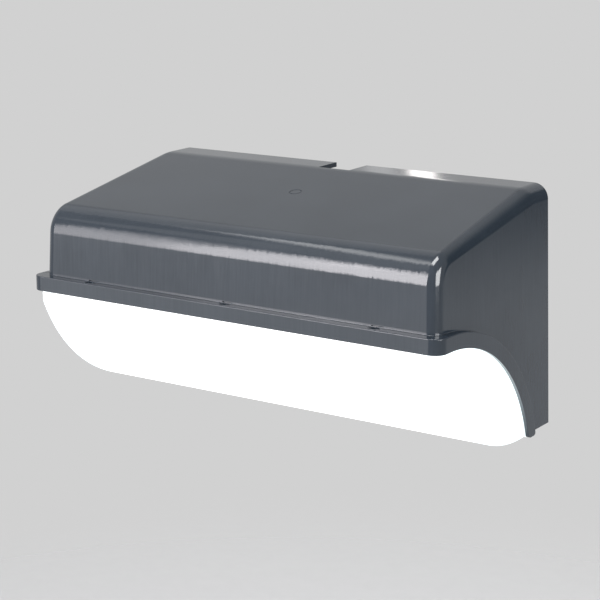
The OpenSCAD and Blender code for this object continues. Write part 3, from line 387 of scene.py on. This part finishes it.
def plain(name, low, high, rough, grain=GRAIN, height=GRAIN_HEIGHT, metal=0.0):
    """A material between two colours, with a fine grain."""
    t = Tree(name)
    fine = t.noise(grain, 3, 0.6)
    cloud = t.noise(PLAIN_CLOUD, 2, 0.5)
    tone = t.math("ADD", t.math("MULTIPLY", fine, 0.5), t.math("MULTIPLY", cloud, 0.5))
    t.principled(
        Base_Color=t.mix(t.map(tone, *PLAIN_TONES), rgb(*low), rgb(*high)),
        Roughness=t.map(fine, *PLAIN_GRAINS, rough - LESS_ROUGH, rough + MORE_ROUGH),
        Normal=t.bump(fine, height, 0.7),
    )
    t.shader.inputs["Metallic"].default_value = metal
    return t.material


def enamel(name, low, high, rough, grain):
    """Smooth and pale, with a grain too fine to speckle."""
    return plain(name, low, high, rough, (grain, grain, grain), ENAMEL_GRAIN_HEIGHT)


def bare_metal(name, low, high, rough):
    return plain(name, low, high, rough, METAL_GRAIN, METAL_GRAIN_HEIGHT, 1.0)


def lamp_yellow():
    t = Tree("lamp_yellow")
    t.principled(Base_Color=rgb(240, 222, 150), Roughness=0.4, Emission_Color=(1, 0.93, 0.75, 1))
    t.shader.inputs["Emission Strength"].default_value = 1.5
    return t.material


def all_materials():
    """The materials, by the names of the record's slots."""
    made = {
        "hood_plastic": hood_plastic(),
        "opal_plastic": opal_plastic(),
        "lamp_yellow": lamp_yellow(),
    }
    for make, kinds in ((plain, PLAINS), (enamel, ENAMELS), (bare_metal, METALS)):
        for name, values in kinds.items():
            made[name] = make(name, *values)
    return made


def dress_nodes(materials):
    """Gives each CAD node its material, and joins its facets so that they shade alike."""
    for entry in frame["record"]["subparts"]:
        obj = nodes[entry["node"]]
        obj.data.materials.clear()
        obj.data.materials.append(materials[entry["material_slot"]])
        weld = obj.modifiers.new("weld", "WELD")
        weld.merge_threshold = WELD


# Short calls for meshes
def new_object(name, verts, faces):
    """An object from points in millimetres, whose heights are from the hood's bottom edge."""
    mesh = bpy.data.meshes.new(name)
    mesh.from_pydata([(x * MM, y * MM, (z - DROP) * MM) for x, y, z in verts], [], faces)
    bm = bmesh.new()
    bm.from_mesh(mesh)
    bmesh.ops.remove_doubles(bm, verts=bm.verts, dist=MERGE)
    bmesh.ops.recalc_face_normals(bm, faces=bm.faces)
    bm.to_mesh(mesh)
    bm.free()
    obj = bpy.data.objects.new(name, mesh)
    scene.collection.objects.link(obj)
    return obj


def grid_faces(rows, cols, closed=False):
    """Quads between rows of points; closed joins the last column to the first."""
    faces = []
    for i in range(rows - 1):
        for j in range(cols if closed else cols - 1):
            a, b = i * cols + j, i * cols + (j + 1) % cols
            faces.append((a, b, b + cols, a + cols))
    return faces


def prism(name, outline, axis, low, high):
    """An outline pushed along X (points in Y, Z) or along Z (points in X, Y)."""
    if axis == "x":
        verts = [(low, y, z) for y, z in outline] + [(high, y, z) for y, z in outline]
    else:
        verts = [(x, y, low) for x, y in outline] + [(x, y, high) for x, y in outline]
    n = len(outline)
    faces = [(i, (i + 1) % n, n + (i + 1) % n, n + i) for i in range(n)]
    return new_object(name, verts, faces + [tuple(range(n)), tuple(range(n, 2 * n))])


def box(name, low, high):
    outline = [(low[0], low[1]), (high[0], low[1]), (high[0], high[1]), (low[0], high[1])]
    return prism(name, outline, "z", low[2], high[2])


def side_box(name, side, near_x, far_x, low, high):
    """A box on one side of the middle; low and high give its Y and Z."""
    left, right = sorted((side * near_x, side * far_x))
    return box(name, (left, *low), (right, *high))


def turned(name, outline, place, tilt=None):
    """An outline of radius and height, turned about Z, then tilted and set in place."""
    verts = []
    for i in range(TURN_STEPS):
        a = 2 * math.pi * i / TURN_STEPS
        verts += [Vector((r * math.cos(a), r * math.sin(a), h)) for r, h in outline]
    n = len(outline)
    faces = []
    for i in range(TURN_STEPS):
        j = (i + 1) % TURN_STEPS
        for k in range(n):
            m = (k + 1) % n
            if outline[k][0] or outline[m][0]:
                faces.append((i * n + k, j * n + k, j * n + m, i * n + m))
    if tilt is not None:
        verts = [tilt @ v for v in verts]
    return new_object(name, [tuple(v + Vector(place)) for v in verts], faces)


def carve(obj, *tools, operation="DIFFERENCE"):
    """Cuts an object with others, which are then removed."""
    for tool in tools:
        mod = obj.modifiers.new("carve", "BOOLEAN")
        mod.operation = operation
        mod.solver = "EXACT"
        mod.object = tool
    settle(obj)
    for tool in tools:
        bpy.data.objects.remove(tool)


def settle(obj):
    """Turns the object's modifiers into plain mesh."""
    bpy.context.view_layer.update()
    depsgraph = bpy.context.evaluated_depsgraph_get()
    mesh = bpy.data.meshes.new_from_object(obj.evaluated_get(depsgraph))
    obj.modifiers.clear()
    obj.data = mesh


def join(name, parts):
    """One object from several, which are then removed."""
    bm = bmesh.new()
    for part in parts:
        bm.from_mesh(part.data)
        bpy.data.objects.remove(part)
    mesh = bpy.data.meshes.new(name)
    bm.to_mesh(mesh)
    bm.free()
    obj = bpy.data.objects.new(name, mesh)
    scene.collection.objects.link(obj)
    return obj


def smooth(obj, angle=25):
    obj.data.shade_smooth()
    obj.data.set_sharp_from_angle(angle=math.radians(angle))
    mod = obj.modifiers.new("normals", "WEIGHTED_NORMAL")
    mod.keep_sharp = True
    mod.weight = 100


# The hood's outer form
def hood_half(z):
    """Half of the hood's length at a height."""
    return HOOD_HALF + (LEDGE_H - z) * END_DRAFT


def hood_front(z):
    """Y of the hood's front face at a height."""
    return -HOOD_REACH + (z - LEDGE_H) * FRONT_DRAFT


def brow_stations():
    """Stations round the brow, from the front face to the slope."""
    start, end = math.pi - FRONT_LEAN, math.pi / 2 + SLOPE
    made = []
    for i in range(BROW_STEPS + 1):
        a = start + (end - start) * i / BROW_STEPS
        n = (math.cos(a), math.sin(a))
        c = [BROW_C[k] + (BROW_R - EDGE_R) * n[k] for k in (0, 1)]
        made.append((c, n, hood_half(c[1]), EDGE_R, END_LEAN))
    return made


def bend_stations():
    """Stations over the easy bend that joins the slope to the level strip."""
    reach = BEND_R * math.tan(SLOPE / 2)
    made = []
    for i in range(BEND_STEPS + 1):
        a = SLOPE * (1 - i / BEND_STEPS)
        n = (-math.sin(a), math.cos(a))
        y = -STRIP_D + reach + BEND_R * n[0]
        z = STRIP_H - BEND_R * (1 - n[1])
        c = (y - ROOF_EDGE_R * n[0], z - ROOF_EDGE_R * n[1])
        made.append((c, n, hood_half(HOOD_H), ROOF_EDGE_R, 0))
    return made


def station_row(station, inset):
    """Points across the hood at a station, rounded down at both ends."""
    (cy, cz), n, half, edge, lean = station
    r = edge - inset
    row = []
    for k in range(EDGE_STEPS + 1):
        f = math.pi / 2 * k / EDGE_STEPS
        row.append((
            half - edge + r * math.sin(f) * math.cos(lean),
            cy + r * math.cos(f) * n[0],
            cz + r * math.cos(f) * n[1] + r * math.sin(f) * math.sin(lean),
        ))
    return [(-x, y, z) for x, y, z in reversed(row)] + row


def hood_form(name, inset, back, low):
    """The hood's form at a distance inside its outer face, as one closed solid."""
    # A station is an edge's centre in Y and Z, its outward normal, half length, radius and lean
    front = ((hood_front(low) + EDGE_R, low), (-1, 0), hood_half(low), EDGE_R, 0)
    rear = ((back, HOOD_H - ROOF_EDGE_R), (0, 1), hood_half(HOOD_H), ROOF_EDGE_R, 0)
    stations = [front] + brow_stations() + bend_stations() + [rear]
    verts = []
    for station in stations:
        verts += station_row(station, inset)
    count, rows = len(verts), len(stations)
    cols = count // rows
    faces = grid_faces(rows, cols)
    verts += [(-hood_half(low) + inset, back, low), (hood_half(low) - inset, back, low)]
    faces.append(tuple(range(0, count, cols)) + (count,))
    faces.append(tuple(range(count - 1, 0, -cols)) + (count + 1,))
    faces.append(tuple(range(count - cols, count)) + (count + 1, count))
    faces.append(tuple(reversed(range(cols))) + (count, count + 1))
    return new_object(name, verts, faces)


def round_rear(obj):
    """Rounds the outer edge of a solid's rear face."""
    bm = bmesh.new()
    bm.from_mesh(obj.data)
    edges = [e for e in bm.edges if all(abs(v.co.y) < AT_WALL for v in e.verts)]
    offset, steps = REAR_R * MM, ROUNDING_STEPS
    bmesh.ops.bevel(bm, geom=edges, offset=offset, segments=steps, profile=0.5, affect="EDGES")
    bm.to_mesh(obj.data)
    bm.free()


# The hood's shell
def arch_outline(radius, top):
    """Everything below the arch at a radius, as points in Y and Z."""
    bottom, sweep = -40, math.radians(88)
    points = []
    for i in range(ARCH_STEPS + 1):
        a = sweep * i / ARCH_STEPS
        points.append((ARCH_Y + radius * math.sin(a), ARCH_Z + radius * math.cos(a)))
    front = -RIM_REACH - OVERRUN
    return [(front, bottom), (front, top)] + points + [(points[-1][0], bottom)]


def plan_outline(half, reach, r, back):
    """A plan with two rounded front corners, as points in X and Y."""
    points = [(half, back)]
    for side in (1, -1):
        for i in range(PLAN_STEPS + 1):
            share = i / PLAN_STEPS if side > 0 else 1 - i / PLAN_STEPS
            a = math.pi / 2 * share
            points.append((side * (half - r + r * math.cos(a)), -reach + r - r * math.sin(a)))
    return points + [(-half, back)]


def bowl_space():
    """The space inside the skirt that the bowl fills."""
    outline = arch_outline(ARCH_R + BAND - LEDGE_T, LEDGE_H - LEDGE_T)
    space = prism("space", outline, "x", -RIM_HALF - PAST, RIM_HALF + PAST)
    plan = plan_outline(RIM_HALF - SKIRT, RIM_REACH - SKIRT, RIM_CORNER - SKIRT, 2 * PAST)
    carve(space, prism("plan", plan, "z", -PAST / 2, LEDGE_H + PAST), operation="INTERSECT")
    return space


def snap_cut(x, front, rear, low, high):
    return box("snap_cut", (x - SLOT_HALF, front, low), (x + SLOT_HALF, rear, high))


def notch_cut():
    top = HOOD_H + 2 * OVERRUN
    return box("notch", (-NOTCH_HALF, -NOTCH_D, NOTCH_FOOT), (NOTCH_HALF, OVERRUN, top))


def gate_cut():
    """A shallow ring in the sloping roof."""
    z = STRIP_H + (GATE_Y + STRIP_D) * math.tan(SLOPE)
    section = [
        (GATE_IN, -GATE_DEPTH), (GATE_IN, GATE_DEPTH), (GATE_OUT, GATE_DEPTH), (GATE_OUT, -GATE_DEPTH),
    ]
    return turned("gate", section, (0, GATE_Y, z), Matrix.Rotation(SLOPE, 3, "X"))


def cover_hole(side):
    return turned("sink", COVER_SECTION, (side * COVER_X, COVER_Y, 0))


def hood_shell():
    obj = hood_form("hood_shell", 0, 0, 0)
    round_rear(obj)
    tools = [hood_form("inside", WALL, OVERRUN, WALL), bowl_space(), notch_cut()]
    for x in SLOTS:
        front, rear = -HOOD_REACH - OVERRUN, -HOOD_REACH + OVERRUN
        tools.append(snap_cut(x, front, rear, LEDGE_H - OVERRUN, LEDGE_H + OVERRUN))
    tools.append(gate_cut())
    tools += [cover_hole(side) for side in (-1, 1)]
    carve(obj, *tools)
    return obj


# The rim
def corner_point(half, reach, r, n):
    """A point on a rounded corner of a plan, where its normal is n."""
    return (half - r + r * n[0], -reach + r + r * n[1])


def rim_stations():
    """Along the rim: outer point, normal in plan, point on the hood's wall, share of the arch."""
    half = []
    for i in range(FRONT_STEPS + 1):
        share = i / FRONT_STEPS
        outer = (share * (RIM_HALF - RIM_CORNER), -RIM_REACH)
        wall = (share * (HOOD_HALF - EDGE_R), -HOOD_REACH)
        half.append((outer, (0, -1), wall, 0))
    for i in range(1, CORNER_STEPS + 1):
        a = math.pi / 2 * i / CORNER_STEPS
        n = (math.sin(a), -math.cos(a))
        outer = corner_point(RIM_HALF, RIM_REACH, RIM_CORNER, n)
        wall = corner_point(HOOD_HALF, HOOD_REACH, EDGE_R, n)
        half.append((outer, n, wall, 0))
    # The steps lie closer together over the foot's rounding
    shares = [i / RIM_STEPS for i in range(RIM_STEPS + 1)]
    shares += [1 - FOOT_SHARE + FOOT_SHARE * k / FOOT_STEPS for k in range(1, FOOT_STEPS)]
    for share in sorted(shares):
        half.append(((RIM_HALF, ARCH_Y), (1, 0), (HOOD_HALF, ARCH_Y), share))
    mirrored = []
    for outer, n, wall, share in reversed(half[1:]):
        mirrored.append(((-outer[0], outer[1]), (-n[0], n[1]), (-wall[0], wall[1]), share))
    return mirrored + half


def band_at(share):
    """Radii of the band's lower and upper edges and of the ledge's underside, along the arch."""
    low, up = ARCH_R, ARCH_R + BAND
    under = up - LEDGE_T
    middle = (low + up) / 2
    end = math.acos((-FOOT - ARCH_Z) / middle) * middle
    left = (1 - share) * end if share > 0 else FOOT_R
    if left < FOOT_R:
        cut = FOOT_R - math.sqrt(max(0, FOOT_R ** 2 - (FOOT_R - left) ** 2))
        low, up = low + cut, up - cut
        under = min(under, up - LEAST_LEDGE)
    return low, up, under


def rim_section(share):
    """Corners of the section: a face to start from, a distance off it, and a radius."""
    low, up, under = band_at(share)
    turns = [math.pi / 2 * k / ROUNDING_STEPS for k in range(ROUNDING_STEPS + 1)]
    section = []
    for q in turns:
        section.append(("outer", LOW_R - LOW_R * math.sin(q), low + LOW_R - LOW_R * math.cos(q)))
    for q in turns:
        section.append(("outer", TOP_R - TOP_R * math.cos(q), up - TOP_R + TOP_R * math.sin(q)))
    for q in turns:
        section.append(("wall", ROOT_R - ROOT_R * math.sin(q), up + ROOT_R - ROOT_R * math.cos(q)))
    section += [("wall", -ROOT_D, up + ROOT_R), ("wall", -ROOT_D, under), ("outer", SKIRT, under)]
    for q in turns:
        off = SKIRT - LOW_R + LOW_R * math.cos(q)
        section.append(("outer", off, low + LOW_R - LOW_R * math.sin(q)))
    return section


def rim_point(station, face, off, radius):
    """The point of a station at a distance off a face, and at a radius from the arch's centre."""
    outer, n, wall, share = station
    a = share * math.acos((-FOOT - ARCH_Z) / radius)
    z = ARCH_Z + radius * math.cos(a)
    if face == "outer":
        x, y = outer[0] - off * n[0], outer[1] - off * n[1]
    else:
        x, y = wall[0] + off * n[0], wall[1] + off * n[1]
        if share > 0:
            x += n[0] * (LEDGE_H - z) * END_DRAFT
    return (x, y + radius * math.sin(a), z)


def rim():
    """The skirt and ledge, with their edges rounded, as one swept band."""
    stations = rim_stations()
    verts = []
    for station in stations:
        verts += [rim_point(station, *corner) for corner in rim_section(station[3])]
    cols = len(verts) // len(stations)
    faces = grid_faces(len(stations), cols, closed=True)
    faces += [tuple(range(cols)), tuple(reversed(range(len(verts) - cols, len(verts))))]
    obj = new_object("hood_rim", verts, faces)
    front = -RIM_REACH + SKIRT
    low, high = LEDGE_H - LEDGE_T - OVERRUN, LEDGE_H + OVERRUN
    carve(obj, *[snap_cut(x, front, front + SLOT_D, low, high) for x in SLOTS])
    return obj


# What sits in the shell's walls
def inside_parts(side):
    """Bosses, web, ribs and hinge knuckle on one side."""
    made = []
    for x, y, top in POSTS:
        section = [(POST_HOLE_R, POST_FOOT), (POST_R, POST_FOOT), (POST_R, top), (POST_HOLE_R, top)]
        made.append(turned("boss", section, (side * x, y, 0)))
    made.append(side_box("web", side, *BOSS_WEB))
    made += [side_box("rib", side, *sizes) for sizes in END_RIBS]
    post_x = side * POSTS[1][0]
    made.append(prism("rib", POST_RIB, "x", post_x - RIB_HALF, post_x + RIB_HALF))
    made.append(side_box("rib", side, *HOOK_RIB))
    low, high = -KNUCKLE_HALF, KNUCKLE_HALF
    bar = [(0, low), (KNUCKLE_R, low), (KNUCKLE_R, high), (0, high)]
    across = Matrix.Rotation(math.pi / 2, 3, "Y")
    made.append(turned("knuckle", bar, (side * KNUCKLE_X, HINGE_Y, HINGE_H), across))
    made.append(side_box("knuckle", side, *KNUCKLE_ROOT))
    return made


def hood_inside():
    return join("hood_inside", inside_parts(-1) + inside_parts(1))


def add_hood(material):
    for obj in (hood_shell(), rim(), hood_inside()):
        smooth(obj)
        obj.data.materials.clear()
        obj.data.materials.append(material)
        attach(obj, "housing")
        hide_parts("hood")


# Lamps
# Distance of the lamps, and the points that they face
STUDIO = 3.0
AIM = (0.06, -0.12, 0.04)
STRIP_SPOT = (0.057, -0.011, 0.076)
# Tints of the front lamps and of the window
LILAC = (1, 0.965, 0.99)
CREAM = (1, 0.96, 0.93)
# Shares of a lamp's height over which its lower and upper edges fade
FRONT_EDGES, LEFT_EDGES = (0.12, 0.36), (0.11, 0.6)
STRIP_EDGES, SHINE_EDGES = (0.45, 0.45), (0.3, 0.2)
# Distance and size of the lamp that only reflections show, as a share of the one that it lies behind
BEHIND = 1.01


def facing(obj, azimuth, elevation, aim=AIM, distance=STUDIO):
    """Puts an object in a direction from a point, turned to face it. Azimuth 0 is straight in front."""
    a, e = math.radians(azimuth), math.radians(elevation)
    way = Vector((math.sin(a) * math.cos(e), -math.cos(a) * math.cos(e), math.sin(e)))
    obj.location = Vector(aim) + distance * way
    obj.rotation_euler = (-way).to_track_quat("-Z", "Y").to_euler()
    obj.visible_camera = False
    scene.collection.objects.link(obj)


def span_of(angle):
    """Length that fills an angle in degrees at the studio's distance."""
    return 2 * STUDIO * math.tan(math.radians(angle / 2))


def soften(data, below, above):
    """Fades a lamp's lower and upper edges over shares of its height."""
    data.use_nodes = True
    nt = data.node_tree
    place = nt.nodes.new("ShaderNodeNewGeometry").outputs["Parametric"]
    split = nt.nodes.new("ShaderNodeSeparateXYZ")
    nt.links.new(place, split.inputs[0])
    both = nt.nodes.new("ShaderNodeMath")
    both.operation = "MULTIPLY"
    for index, (edge, inner) in enumerate(((0, below), (1, 1 - above))):
        fade = nt.nodes.new("ShaderNodeMapRange")
        fade.interpolation_type = "SMOOTHSTEP"
        fade.inputs["From Min"].default_value = min(edge, inner)
        fade.inputs["From Max"].default_value = max(edge, inner)
        fade.inputs["To Min"].default_value = index
        fade.inputs["To Max"].default_value = 1 - index
        nt.links.new(split.outputs["Y"], fade.inputs["Value"])
        nt.links.new(fade.outputs["Result"], both.inputs[index])
    nt.links.new(both.outputs[0], nt.nodes["Emission"].inputs["Strength"])


def area_lamp(name, width, height, radiance, tint):
    data = bpy.data.lights.new(name, "AREA")
    data.shape = "RECTANGLE"
    data.color = tint
    data.size = width
    data.size_y = height
    data.energy = radiance * math.pi * data.size * data.size_y
    return data


def softbox(name, azimuth, elevation, width, height, radiance,
            aim=AIM, soft=None, tint=(1, 1, 1), shine=0.0):
    """A rectangle lamp that fills the given angles, and one behind it that only reflections show."""
    made = []
    for level, share, lights in ((radiance, 1.0, True), (shine, BEHIND, False)):
        if not level:
            continue
        data = area_lamp(name, share * span_of(width), share * span_of(height), level, tint)
        if soft:
            soften(data, *soft)
        obj = bpy.data.objects.new(name, data)
        obj.visible_diffuse = lights
        facing(obj, azimuth, elevation, aim, share * STUDIO)
        made.append(obj)
    return made


def fill(name, azimuth, elevation, width, height, radiance):
    """A soft lamp that reflections don't show."""
    for obj in softbox(name, azimuth, elevation, width, height, radiance):
        obj.visible_glossy = False


def add_lights():
    """Each lamp's azimuth, elevation, width and height are in degrees, before its radiance."""
    # A wide softbox in front on the left, in three parts that dim to its left
    softbox("front_box_right", -26.5, 14.3, 13, 43.4, 13, soft=FRONT_EDGES, tint=LILAC)
    softbox("front_box_middle", -36, 14.3, 6, 43.4, 11, soft=FRONT_EDGES, tint=LILAC)
    softbox("front_box_left", -43, 15.3, 8, 45.4, 5.5, soft=LEFT_EDGES, tint=LILAC)
    # A dim glow below and above it
    softbox("front_box_foot", -34, -7.5, 31, 6, 0.8)
    softbox("front_floor", -35, -16.5, 29, 12, 1.3)
    softbox("front_top", -48, 44, 20, 16, 0.7)
    # A large one at the right end, one overhead, a strip on the left, and a dim one past that
    softbox("side_box", 76, 14, 36, 38, 4.8, shine=8.4)
    softbox("top_box", -21, 80, 25, 34, 4.0, shine=10.2)
    softbox("top_strip", -67.5, 57.5, 22, 11, 4.8, soft=STRIP_EDGES)
    softbox("left_shine", -122, 49, 46, 28, 0, soft=SHINE_EDGES, shine=0.45)
    # Soft fills for the back and from below
    fill("back_fill", 180, 8, 44, 34, 5.5)
    fill("low_fill", 20, -62, 40, 30, 1.2)
    # A window behind on the left, which shows in the roof's level strip, and its dim side
    softbox("window", -150.15, 12, 1.15, 11, 3.0, STRIP_SPOT, tint=CREAM)
    softbox("window_side", -148.2, 12, 1.3, 11, 0.35, STRIP_SPOT)


# The stage
PALE = rgb(209, 209, 209)
AMBIENT = (0.16, 0.17, 0.18, 1)
FLOOR_SIZE, FLOOR_PLACE = 2, (0, -0.08, -0.45)
# Width, height and direction of the dark card, in degrees
FLAG_WIDTH, FLAG_HEIGHT = 42, 66
FLAG_AZIMUTH, FLAG_ELEVATION = 147, 20
# Where the card and the floor fade, in metres from their middles
FLAG_SIDES, FLAG_FOOT, FLAG_TOP = (0.7, 1.1), (-1.9, -1.4), (0.0, 1.75)
FLOOR_FADE = (0.45, 0.95)


def flag_black():
    """Fades out towards its sides, its foot and its top."""
    t = Tree("flag_black")
    grain = t.noise((40, 40, 40))
    place = t.separate(t.coords)
    across = t.map(t.math("ABSOLUTE", place["X"]), *FLAG_SIDES, 1, 0)
    from_foot = t.map(place["Y"], *FLAG_FOOT)
    to_top = t.map(place["Y"], *FLAG_TOP, 1, 0)
    t.principled(
        Base_Color=t.mix(grain, rgb(10, 10, 10), rgb(16, 16, 16)),
        Roughness=0.9,
        Alpha=t.math("MULTIPLY", across, t.math("MULTIPLY", from_foot, to_top)),
    )
    return t.material


def floor_pale():
    """Fades out round the light's shadow, and doesn't show from below."""
    t = Tree("floor_pale")
    grain = t.noise((60, 60, 60), 4, 0.6)
    fade = t.map(t.vector("LENGTH", t.coords), *FLOOR_FADE, 1, 0)
    from_above = t.math("SUBTRACT", 1.0, t.geometry("Backfacing"))
    t.principled(
        Base_Color=t.mix(grain, rgb(205, 205, 205), rgb(212, 212, 212)),
        Roughness=0.8,
        Alpha=t.math("MULTIPLY", fade, from_above),
    )
    return t.material


def plane(name, width, height, material):
    mesh = bpy.data.meshes.new(name)
    x, y = width / 2, height / 2
    mesh.from_pydata([(-x, -y, 0), (x, -y, 0), (x, y, 0), (-x, y, 0)], [], [(0, 1, 2, 3)])
    mesh.materials.append(material)
    return bpy.data.objects.new(name, mesh)


def add_world():
    """Pale where the camera, reflections and clear pieces show it, and dim as light on the object."""
    world = bpy.data.worlds.new("studio")
    scene.world = world
    world.use_nodes = True
    nt = world.node_tree
    nt.nodes.clear()
    path = nt.nodes.new("ShaderNodeLightPath")
    shown = path.outputs["Is Camera Ray"]
    for ray in ("Is Glossy Ray", "Is Transmission Ray"):
        either = nt.nodes.new("ShaderNodeMath")
        either.operation = "MAXIMUM"
        nt.links.new(shown, either.inputs[0])
        nt.links.new(path.outputs[ray], either.inputs[1])
        shown = either.outputs[0]
    mix = nt.nodes.new("ShaderNodeMixShader")
    nt.links.new(shown, mix.inputs[0])
    for index, colour in ((1, AMBIENT), (2, PALE)):
        background = nt.nodes.new("ShaderNodeBackground")
        background.inputs["Color"].default_value = colour
        nt.links.new(background.outputs[0], mix.inputs[index])
    out = nt.nodes.new("ShaderNodeOutputWorld")
    nt.links.new(mix.outputs[0], out.inputs["Surface"])


def add_stage():
    floor = plane("floor", FLOOR_SIZE, FLOOR_SIZE, floor_pale())
    floor.location = FLOOR_PLACE
    scene.collection.objects.link(floor)
    # A dark card behind on the right, which the roof's strip and the right end reflect
    flag = plane("flag", span_of(FLAG_WIDTH), span_of(FLAG_HEIGHT), flag_black())
    facing(flag, FLAG_AZIMUTH, FLAG_ELEVATION)
    add_world()


scene.view_settings.view_transform = "Standard"
add_camera()
materials = all_materials()
dress_nodes(materials)
add_hood(materials["hood_plastic"])
add_lights()
add_stage()
